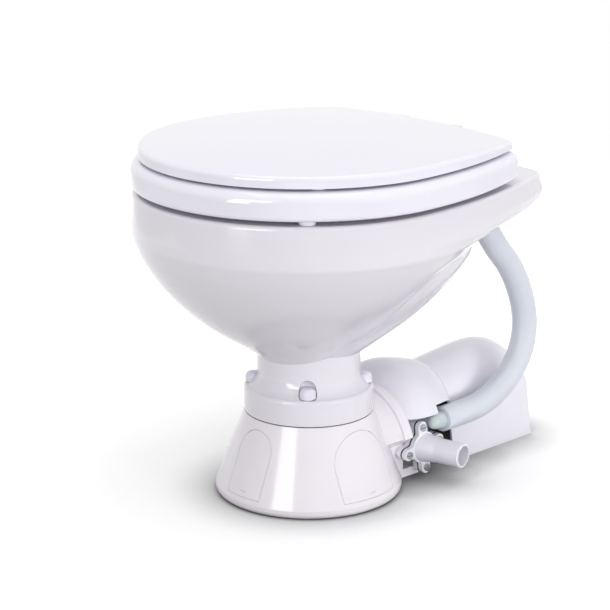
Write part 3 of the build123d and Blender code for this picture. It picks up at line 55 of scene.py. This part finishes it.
camera_back = Vector((
    math.sin(camera_azimuth) * math.cos(camera_elevation),
    -math.cos(camera_azimuth) * math.cos(camera_elevation),
    math.sin(camera_elevation),
))
camera.location = camera_aim + camera_back * camera_distance
camera.rotation_euler = camera_back.to_track_quat("Z", "Y").to_euler()
bpy.context.scene.camera = camera


def linear(code):
    """An sRGB hex colour as linear RGBA."""
    shares = [int(code[place:place + 2], 16) / 255 for place in (0, 2, 4)]
    return [s / 12.92 if s <= 0.04045 else ((s + 0.055) / 1.055) ** 2.4 for s in shares] + [1]


def add_node(material, kind, inputs=None, links=None, **settings):
    """A shader node with its settings, its values and the sockets that feed it."""
    made = material.node_tree.nodes.new(kind)
    for name, value in settings.items():
        setattr(made, name, value)
    for name, value in (inputs or {}).items():
        made.inputs[name].default_value = value
    for name, source in (links or {}).items():
        material.node_tree.links.new(source, made.inputs[name])
    return made


def new_material(name):
    """An empty node material and its output."""
    material = bpy.data.materials.new(name)
    material.use_nodes = True
    material.node_tree.nodes.clear()
    output = add_node(material, "ShaderNodeOutputMaterial")
    return material, output


moulded_gloss_swing = 0.15


def moulded(name, code, shade_code, roughness, grain_mm, grain_depth_mm, cloud_mm=60.0, **shader):
    """A smooth opaque finish: slow clouds of a second shade and a fine surface grain."""
    material, output = new_material(name)
    place = add_node(material, "ShaderNodeTexCoord").outputs["Object"]
    clouds = add_node(
        material, "ShaderNodeTexNoise", {"Scale": 1000 / cloud_mm, "Detail": 3.0}, {"Vector": place}
    )
    colour = add_node(
        material, "ShaderNodeMix", {6: linear(code), 7: linear(shade_code)},
        {0: clouds.outputs["Fac"]}, data_type="RGBA",
    )
    grain = add_node(
        material, "ShaderNodeTexNoise", {"Scale": 1000 / grain_mm, "Detail": 2.0}, {"Vector": place}
    )
    bump = add_node(
        material, "ShaderNodeBump", {"Distance": grain_depth_mm / 1000, "Strength": 1.0},
        {"Height": grain.outputs["Fac"]},
    )
    gloss = add_node(
        material, "ShaderNodeMapRange",
        {
            "To Min": roughness * (1 - moulded_gloss_swing),
            "To Max": roughness * (1 + moulded_gloss_swing),
        },
        {"Value": clouds.outputs["Fac"]},
    )
    surface = add_node(
        material, "ShaderNodeBsdfPrincipled", shader,
        {"Base Color": colour.outputs[2], "Normal": bump.outputs[0], "Roughness": gloss.outputs[0]},
    )
    material.node_tree.links.new(surface.outputs[0], output.inputs["Surface"])
    return material


def finish(material, *names):
    """These CAD pieces take a material."""
    for name in names:
        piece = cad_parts[name]
        piece.data.materials.clear()
        piece.data.materials.append(material)


# Flush hose. Extruded white PVC, 27 mm outside, with a satin skin that lets
# a little light in. It is pushed over the pump's outlet elbow below, and over
# the barb of the inlet elbow under the deck.
hose_d = 0.027
hose_exit = (0.062, 0.1342, 0.057)
hose_points = [
    hose_exit,
    (0.0620, 0.1622, 0.0570),
    (0.0643, 0.1900, 0.0591),
    (0.0679, 0.2176, 0.0715),
    (0.0710, 0.2413, 0.0944),
    (0.0714, 0.2557, 0.1254),
    (0.0669, 0.2582, 0.1593),
    (0.0602, 0.2446, 0.2011),
    (0.0541, 0.2200, 0.2310),
    (0.0505, 0.2065, 0.2580),
    (0.04573, 0.19128, 0.28395),
]
hose_steps = 24
hose_round = 12
hose_line = bpy.data.curves.new("flush_hose_skin", "CURVE")
hose_line.dimensions = "3D"
hose_spline = hose_line.splines.new("NURBS")
hose_spline.points.add(len(hose_points) - 1)
for point, spot in zip(hose_spline.points, hose_points):
    point.co = (*spot, 1)
hose_spline.order_u = 3
hose_spline.use_endpoint_u = True
hose_spline.resolution_u = hose_steps
hose_line.bevel_depth = hose_d / 2
hose_line.bevel_resolution = hose_round
hose_line.use_fill_caps = True
hose_skin = bpy.data.objects.new("flush_hose_skin", hose_line)
bpy.context.scene.collection.objects.link(hose_skin)
hose_pvc = moulded(
    "pvc_hose", "E0E4EC", "D6DBE5", 0.3, 0.9, 0.02,
    **{
        "IOR": 1.5, "Subsurface Weight": 0.25, "Subsurface Scale": 0.004,
        "Subsurface Radius": (1.0, 1.1, 1.3),
    },
)
hose_line.materials.append(hose_pvc)
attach(hose_skin, "toilet")
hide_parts("flush_hose")

# Base housing and its access panels. Glossy white ABS, injection moulded, so
# the skin is smooth with the faintest sink and a soft lustre.
abs_base = moulded(
    "moulded_abs", "F3EEF4", "EFEAF1", 0.16, 2.2, 0.004, **{"IOR": 1.5, "Coat Weight": 0.25}
)
finish(abs_base, "base_housing", "access_panels")

# China bowl. Vitreous china, slip cast and glazed in one firing, so a deep
# even gloss lies over a body that is never quite flat.
china = moulded(
    "glazed_china", "EBE7EF", "E7E3EB", 0.1, 26.0, 0.05,
    **{"IOR": 1.55, "Coat Weight": 0.4, "Coat Roughness": 0.03},
)
finish(china, "bowl")

# Rubber. The gasket under the china, the inlet grommet, the seals of the pump
# and the motor's saddle, all black moulded rubber with a dull bloom.
black_rubber = moulded("moulded_rubber", "2B2B2D", "343437", 0.6, 0.8, 0.02, IOR=1.52)
finish(
    black_rubber, "bowl_gasket", "inlet_grommet", "housing_seals", "joker_valve", "shaft_seals",
    "motor_saddle", "rinse_impeller", "lead_gland",
)


drawn_stretch = 0.04
drawn_depth = 0.00002
drawn_gloss = (0.8, 1.3)


def metal(name, code, shade_code, roughness, line_mm):
    """A bare metal with fine drawn lines along Y, in a second shade and a second gloss."""
    material, output = new_material(name)
    place = add_node(material, "ShaderNodeTexCoord").outputs["Object"]
    stretch = add_node(
        material, "ShaderNodeMapping", {"Scale": (1.0, drawn_stretch, 1.0)}, {"Vector": place}
    )
    lines = add_node(
        material, "ShaderNodeTexNoise", {"Scale": 1000 / line_mm, "Detail": 2.0},
        {"Vector": stretch.outputs[0]},
    )
    colour = add_node(
        material, "ShaderNodeMix", {6: linear(code), 7: linear(shade_code)},
        {0: lines.outputs["Fac"]}, data_type="RGBA",
    )
    gloss = add_node(
        material, "ShaderNodeMapRange",
        {"To Min": roughness * drawn_gloss[0], "To Max": roughness * drawn_gloss[1]},
        {"Value": lines.outputs["Fac"]},
    )
    bump = add_node(
        material, "ShaderNodeBump", {"Distance": drawn_depth, "Strength": 1.0},
        {"Height": lines.outputs["Fac"]},
    )
    surface = add_node(
        material, "ShaderNodeBsdfPrincipled", {"Metallic": 1.0},
        {"Base Color": colour.outputs[2], "Roughness": gloss.outputs[0], "Normal": bump.outputs[0]},
    )
    material.node_tree.links.new(surface.outputs[0], output.inputs["Surface"])
    return material


# Bolts, washers, nuts and screws. Turned and pressed stainless steel, with the
# grey shine of an A4 fastener.
stainless = metal("stainless_steel", "C3C5C8", "A9ABAF", 0.24, 0.6)
finish(
    stainless, "bowl_bolts", "bowl_washers", "bowl_nuts", "hose_clamp", "wear_plate", "port_screws",
    "rinse_wear_plate", "pump_tie_screws", "motor_bearings", "motor_through_bolts", "motor_shaft",
    "chopper_plate", "hinge_pins",
)

# Nut caps. Moulded white polyethylene, a little duller than the china, pushed
# over the nuts in the flutes of the china's foot.
white_caps = moulded("polyethylene_caps", "ECEAF4", "E8E6F1", 0.3, 1.2, 0.006, IOR=1.5)
finish(white_caps, "bowl_nut_caps")

# Discharge housing and port, inlet elbow. White glass-filled nylon, moulded,
# with a satin skin. The elbow is pushed into the grommet under the deck.
white_nylon = moulded("white_nylon", "F1F0F7", "EDECF4", 0.3, 0.9, 0.008, IOR=1.53)
finish(white_nylon, "discharge_port", "discharge_housing", "inlet_elbow")

# Pump housings. Grey-green glass-filled plastic, moulded in three rings, with
# the flow marks of its fibres.
pump_grey = moulded("glass_filled_plastic", "B3BCBA", "A2ABA9", 0.42, 0.7, 0.03, 18.0, IOR=1.52)
finish(pump_grey, "macerator_housing", "rinse_pump_body", "rinse_inlet_port")

# Outlet elbow of the rinse pump. Milky green-white nylon, moulded, where the
# lower end of the hose is pushed on.
milky_nylon = moulded("milky_nylon", "CFDBDA", "C3D1D0", 0.3, 0.9, 0.01, IOR=1.53)
finish(milky_nylon, "rinse_outlet_elbow")

# Motor. A drawn steel can in dark stoved paint, held by its through bolts
# between two cast aluminium end plates with a dull as-cast skin.
motor_paint = moulded("stoved_paint", "3A3D42", "33363B", 0.35, 1.5, 0.01, IOR=1.5)
finish(motor_paint, "motor_can")
cast_alloy = metal("cast_aluminium", "B9BCBF", "A0A3A6", 0.42, 1.5)
finish(cast_alloy, "motor_front_plate", "motor_end_bell")

# Inside the motor. Sintered ferrite magnets, carbon brushes in a brown moulded
# ring, stacked steel laminations, varnished copper windings.
ferrite = moulded("sintered_ferrite", "3B3B3E", "333336", 0.7, 0.5, 0.02, IOR=1.6)
finish(ferrite, "motor_magnets", "motor_brushes")
brown_moulding = moulded("phenolic_moulding", "4A3A2E", "3E3026", 0.45, 0.8, 0.01, IOR=1.55)
finish(brown_moulding, "brush_ring")
laminated_steel = metal("laminated_steel", "7A7B7E", "5E5F62", 0.4, 0.5)
finish(laminated_steel, "armature")
copper = metal("varnished_copper", "C07A45", "A5622F", 0.3, 0.4)
finish(copper, "armature_windings", "commutator")
black_acetal = moulded("black_acetal", "2E3134", "27292C", 0.35, 0.8, 0.01, IOR=1.48)
finish(black_acetal, "waste_impeller")

# Motor cover. Hood and hump are one injection moulding of glossy white ABS,
# a little bluer than the base.
abs_cover = moulded(
    "moulded_abs_cover", "F1EFF8", "EDEBF5", 0.18, 2.4, 0.004, **{"IOR": 1.5, "Coat Weight": 0.2}
)
finish(abs_cover, "motor_cover")

# Seat and lid. Moulded wood composite under a baked white enamel, which flows
# out to a mirror with a very slow ripple.
seat_enamel = moulded(
    "baked_enamel", "F3F1FB", "F0EEF9", 0.09, 22.0, 0.03,
    **{"IOR": 1.5, "Coat Weight": 0.4, "Coat Roughness": 0.04},
)
finish(seat_enamel, "seat", "lid")

# Bumpers. Moulded pads of milky vinyl, which let a little light in, pressed
# into the undersides of the seat and the lid.
milky_vinyl = moulded(
    "milky_vinyl", "EDEDF2", "E6E6EC", 0.3, 0.8, 0.01,
    **{"IOR": 1.5, "Subsurface Weight": 0.5, "Subsurface Scale": 0.003},
)
finish(milky_vinyl, "seat_bumpers", "lid_bumpers")

# Hinge posts, bolts, washers and nuts. Mouldings of the port's white nylon,
# bolted through the holes of the china's deck.
finish(white_nylon, "hinge_posts", "hinge_bolts", "hinge_washers", "hinge_nuts")

# Floor. White paper with a painted glow that rises the further it lies from the base, so that
# it meets the white room, and a painted contact shadow from ambient occlusion round the foot.
floor_size = 1.5
paper_lit = (0.42, 0.42, 0.42, 1)
paper_white = (0.92, 0.92, 0.92, 1)
painted_shadow_colour = (0.08, 0.08, 0.09, 1)
glow_reach = (0.2, 1.0)
glow_levels = (0.24, 0.5)
painted_shadow_reach = 0.06
painted_shadow_power = 1.5
floor_mesh = bpy.data.meshes.new("floor")
floor_bm = bmesh.new()
bmesh.ops.create_grid(floor_bm, x_segments=1, y_segments=1, size=floor_size)
floor_bm.to_mesh(floor_mesh)
floor_bm.free()
floor = bpy.data.objects.new("floor", floor_mesh)
bpy.context.scene.collection.objects.link(floor)
paper, paper_output = new_material("white_paper")
paper_light = add_node(paper, "ShaderNodeLightPath")
paper_seen = add_node(
    paper, "ShaderNodeMath", None,
    {0: paper_light.outputs["Is Camera Ray"], 1: paper_light.outputs["Is Glossy Ray"]},
    operation="MAXIMUM",
)
paper_place = add_node(paper, "ShaderNodeTexCoord")
paper_reach = add_node(
    paper, "ShaderNodeVectorMath", None, {0: paper_place.outputs["Object"]}, operation="LENGTH"
)
paper_rise = add_node(
    paper, "ShaderNodeMapRange",
    {
        "From Min": glow_reach[0], "From Max": glow_reach[1],
        "To Min": glow_levels[0], "To Max": glow_levels[1],
    },
    {"Value": paper_reach.outputs["Value"]},
)
paper_level = add_node(
    paper, "ShaderNodeMath", None,
    {0: paper_seen.outputs[0], 1: paper_rise.outputs[0]}, operation="MULTIPLY",
)
paper_glow = add_node(
    paper, "ShaderNodeEmission", {"Color": (1, 1, 1, 1)}, {"Strength": paper_level.outputs[0]}
)
paper_tone = add_node(
    paper, "ShaderNodeMix", {6: paper_lit, 7: paper_white}, {0: paper_seen.outputs[0]},
    data_type="RGBA",
)
paper_skin = add_node(paper, "ShaderNodeBsdfDiffuse", None, {"Color": paper_tone.outputs[2]})
paper_sum = add_node(
    paper, "ShaderNodeAddShader", None, {0: paper_skin.outputs[0], 1: paper_glow.outputs[0]}
)
# Painted contact shadow: ambient occlusion mixes the paper towards a dark diffuse close round the
# foot.
painted_shadow_ao = add_node(paper, "ShaderNodeAmbientOcclusion", {"Distance": painted_shadow_reach}, samples=8)
painted_shadow_mask = add_node(
    paper, "ShaderNodeMath", {1: painted_shadow_power}, {0: painted_shadow_ao.outputs["AO"]}, operation="POWER"
)
painted_shadow_skin = add_node(paper, "ShaderNodeBsdfDiffuse", {"Color": painted_shadow_colour})
paper_mix = add_node(
    paper, "ShaderNodeMixShader", None,
    {0: painted_shadow_mask.outputs[0], 1: painted_shadow_skin.outputs[0], 2: paper_sum.outputs[0]},
)
paper.node_tree.links.new(paper_mix.outputs[0], paper_output.inputs["Surface"])
floor_mesh.materials.append(paper)

# Light. A wide soft lamp above and three fills round the front light the bowl
# in a white room, and a narrow low one lights the pump. Two panels in front
# only show as reflections on the seat, the rim and the cone.
lamp_aim = Vector((0, 0, 0.25))
pump_aim = Vector((0.08, 0.2, 0.04))
room_light = 0.68


def softbox(
    name, place, width, height, power, in_gloss=True, in_light=True, aim=lamp_aim, spread=180
):
    """A rectangular area lamp that shows in the gloss, in the light, or in both."""
    lamp = bpy.data.lights.new(name, "AREA")
    lamp.shape = "RECTANGLE"
    lamp.size = width
    lamp.size_y = height
    lamp.energy = power
    lamp.spread = math.radians(spread)
    holder = bpy.data.objects.new(name, lamp)
    holder.location = place
    holder.rotation_euler = (Vector(place) - aim).to_track_quat("Z", "Y").to_euler()
    holder.visible_glossy = in_gloss
    holder.visible_diffuse = in_light
    bpy.context.scene.collection.objects.link(holder)


softbox("overhead", (0.1, -0.1, 2.4), 1.8, 1.8, 12)
softbox("window", (0.22, -2.39, 0.35), 0.6, 0.5, 6, in_light=False)
softbox("front_panel", (0.56, -2.33, 1.0), 1.1, 0.7, 12, in_light=False)
softbox("front_fill", (1.7, -1.2, 0.4), 1.4, 0.8, 8, in_gloss=False)
softbox(
    "low_fill", (1.8, 0.05, 0.12), 0.8, 0.4, 0.25, in_gloss=False, aim=pump_aim, spread=24
)
softbox("right_fill", (2.3, 0.5, 0.5), 1.2, 0.7, 8, in_gloss=False)
softbox("left_fill", (-1.4, -1.8, 0.4), 1.0, 0.6, 4, in_gloss=False)

world = bpy.data.worlds.new("room")
bpy.context.scene.world = world
world.use_nodes = True
world.node_tree.nodes.clear()
world_output = add_node(world, "ShaderNodeOutputWorld")
world_light = add_node(world, "ShaderNodeLightPath")
world_seen = add_node(
    world, "ShaderNodeMath", None,
    {0: world_light.outputs["Is Camera Ray"], 1: world_light.outputs["Is Glossy Ray"]},
    operation="MAXIMUM",
)
world_fill = add_node(
    world, "ShaderNodeMapRange", {"To Min": room_light, "To Max": 1.0},
    {"Value": world_seen.outputs[0]},
)
room_white = add_node(
    world, "ShaderNodeBackground", {"Color": (1, 1, 1, 1)}, {"Strength": world_fill.outputs[0]}
)
world.node_tree.links.new(room_white.outputs[0], world_output.inputs["Surface"])

bpy.context.scene.view_settings.view_transform = "Standard"
